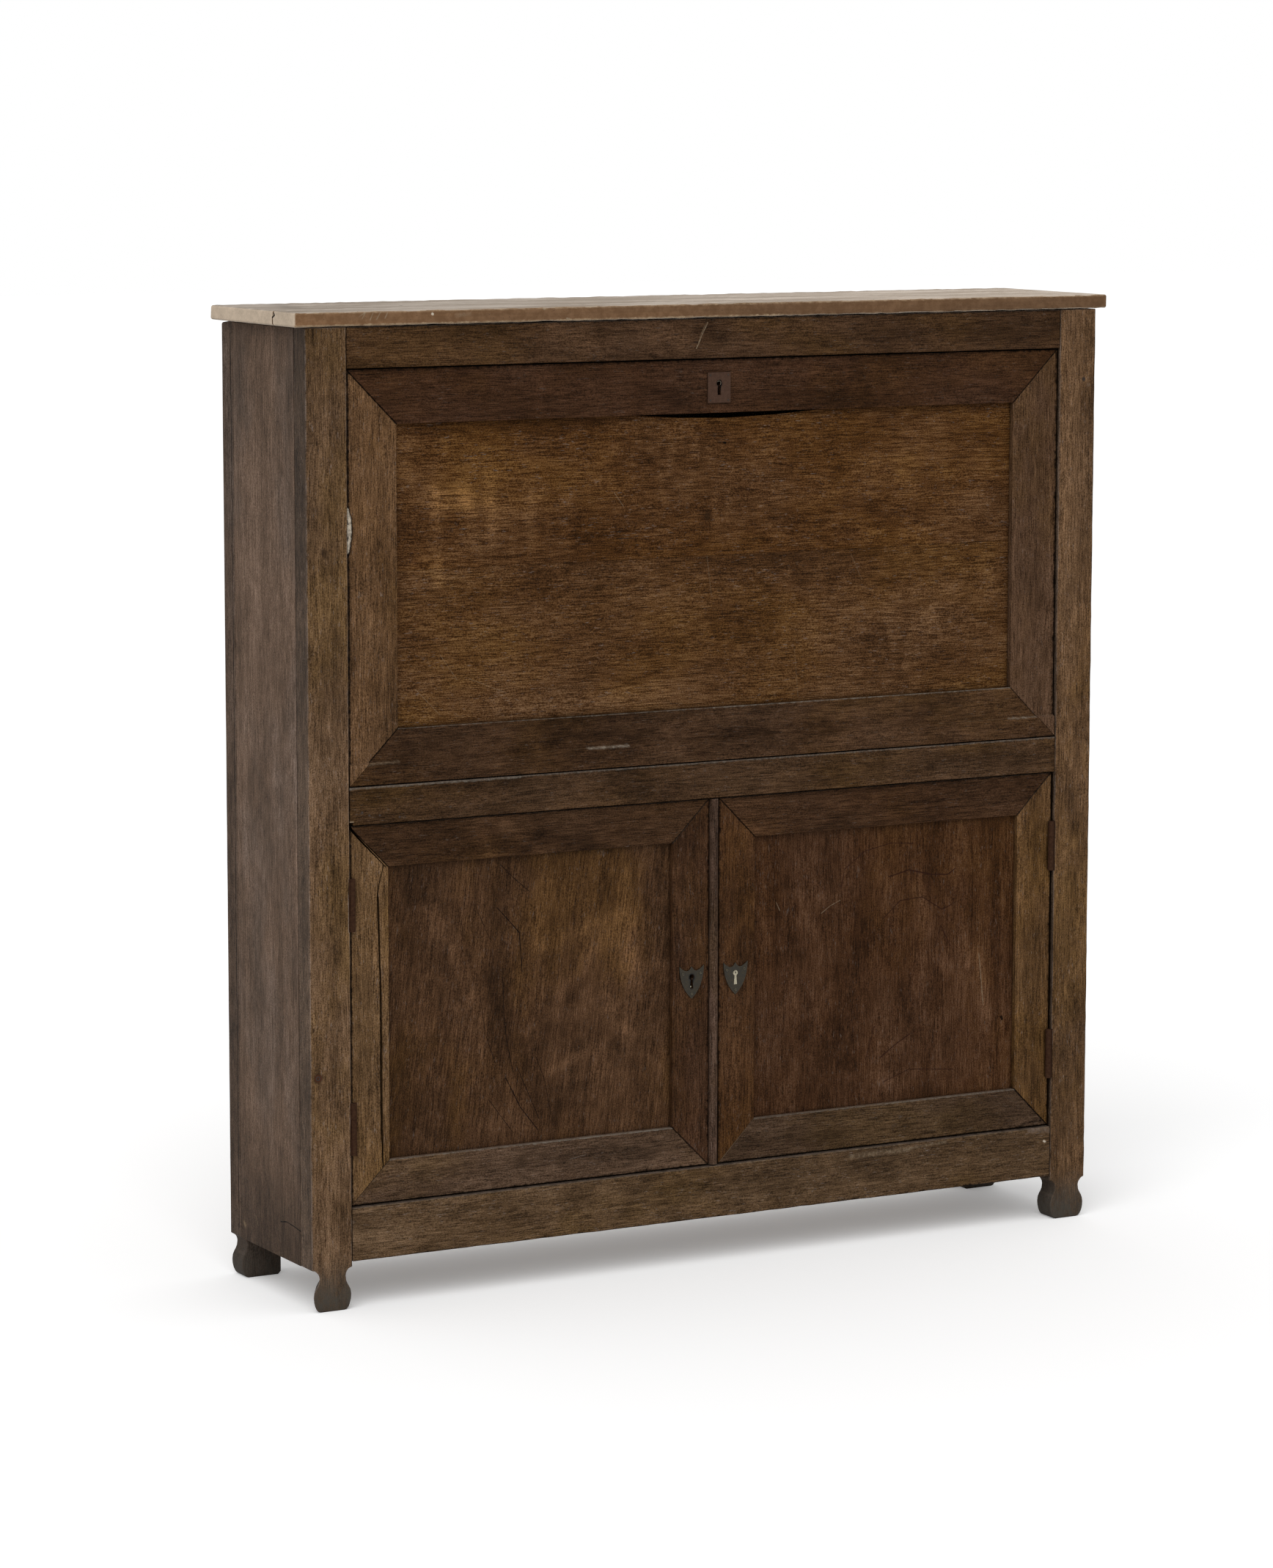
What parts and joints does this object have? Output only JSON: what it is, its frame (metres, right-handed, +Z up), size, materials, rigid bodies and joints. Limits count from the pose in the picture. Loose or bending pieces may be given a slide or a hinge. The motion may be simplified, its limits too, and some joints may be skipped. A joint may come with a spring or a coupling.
{
  "type": "desk cabinet",
  "caption": "Shallow oak cabinet with a fall-front writing flap above panelled double doors, on short shaped feet.",
  "frame": {"origin": "on the floor under the middle of the cabinet's box", "axes": "+X to the right as seen from the front, +Y to the back, +Z up; the flap and doors face -Y"},
  "size_m": [1.253, 0.264, 1.316],
  "materials": {
    "front_oak": "dark worn varnish",
    "door_oak": "dark worn varnish",
    "flap_panel_oak": "worn brown varnish",
    "door_panel_oak": "worn red-brown varnish",
    "side_oak": "dry, weathered",
    "top_wood": "pale, bare, stained",
    "inner_wood": "bare",
    "iron": "rusty",
    "escutcheon_bronze": "dull patina",
    "keyhole_plate_metal": "dull brown patina"
  },
  "bodies": {
    "carcase": {"back_board_1": "inner_wood", "back_board_2": "inner_wood", "back_board_3": "inner_wood", "back_post_left": "side_oak", "back_post_right": "side_oak", "bottom_rail": "front_oak", "cupboard_floor": "inner_wood", "cupboard_shelf": "inner_wood", "desk_divider_1": "inner_wood", "desk_divider_2": "inner_wood", "desk_shelf": "inner_wood", "front_post_left": "front_oak", "front_post_right": "front_oak", "hinge_fixed_left_lower": "iron", "hinge_fixed_left_upper": "iron", "hinge_fixed_right_lower": "iron", "hinge_fixed_right_upper": "iron", "middle_rail": "front_oak", "side_panel_left": "side_oak", "side_panel_right": "side_oak", "stay_keeper_left": "iron", "stay_keeper_right": "iron", "top_board": "top_wood", "top_rail": "front_oak", "writing_bed": "inner_wood"},
    "flap": {"flap_bottom_rail": "front_oak", "flap_keyhole_plate": "keyhole_plate_metal", "flap_left_stile": "front_oak", "flap_lock_case": "iron", "flap_lower_panel": "flap_panel_oak", "flap_pin_left": "iron", "flap_pin_right": "iron", "flap_right_stile": "front_oak", "flap_stay_left": "iron", "flap_stay_right": "iron", "flap_top_rail": "front_oak", "flap_upper_panel": "flap_panel_oak"},
    "flap_lock_bolt": {"flap_bolt": "iron"},
    "left_door": {"door_lock_case": "iron", "hinge_moving_left_lower": "iron", "hinge_moving_left_upper": "iron", "left_door_bottom_rail": "door_oak", "left_door_left_stile": "door_oak", "left_door_panel": "door_panel_oak", "left_door_right_stile": "door_oak", "left_door_top_rail": "door_oak", "left_escutcheon": "escutcheon_bronze", "meeting_bead": "door_oak"},
    "left_door_bolt": {"door_bolt": "iron"},
    "right_door": {"hinge_moving_right_lower": "iron", "hinge_moving_right_upper": "iron", "right_door_bottom_rail": "door_oak", "right_door_left_stile": "door_oak", "right_door_panel": "door_panel_oak", "right_door_right_stile": "door_oak", "right_door_top_rail": "door_oak", "right_escutcheon": "escutcheon_bronze", "tower_bolt_guide": "iron"},
    "right_door_bolt": {"tower_bolt": "iron"}
  },
  "joints": [
    {"name": "flap_hinge", "type": "hinge", "parent": "carcase", "child": "flap", "pos_m": [0, -0.121, 0.7216], "axis": [1, 0, 0], "range_deg": [0, 90]},
    {"name": "flap_bolt_slide", "type": "slide", "parent": "flap", "child": "flap_lock_bolt", "axis": [0, 0, 1], "range_m": [0, 0.009]},
    {"name": "left_door_hinge", "type": "hinge", "parent": "carcase", "child": "left_door", "pos_m": [-0.5467, -0.1263, 0.3925], "axis": [0, 0, -1], "range_deg": [0, 170]},
    {"name": "left_door_bolt_slide", "type": "slide", "parent": "left_door", "child": "left_door_bolt", "axis": [1, 0, 0], "range_m": [0, 0.0095]},
    {"name": "right_door_hinge", "type": "hinge", "parent": "carcase", "child": "right_door", "pos_m": [0.5467, -0.1263, 0.3925], "axis": [0, 0, 1], "range_deg": [0, 170]},
    {"name": "tower_bolt_slide", "type": "slide", "parent": "right_door", "child": "right_door_bolt", "axis": [0, 0, 1], "range_m": [0, 0.012]}
  ]
}
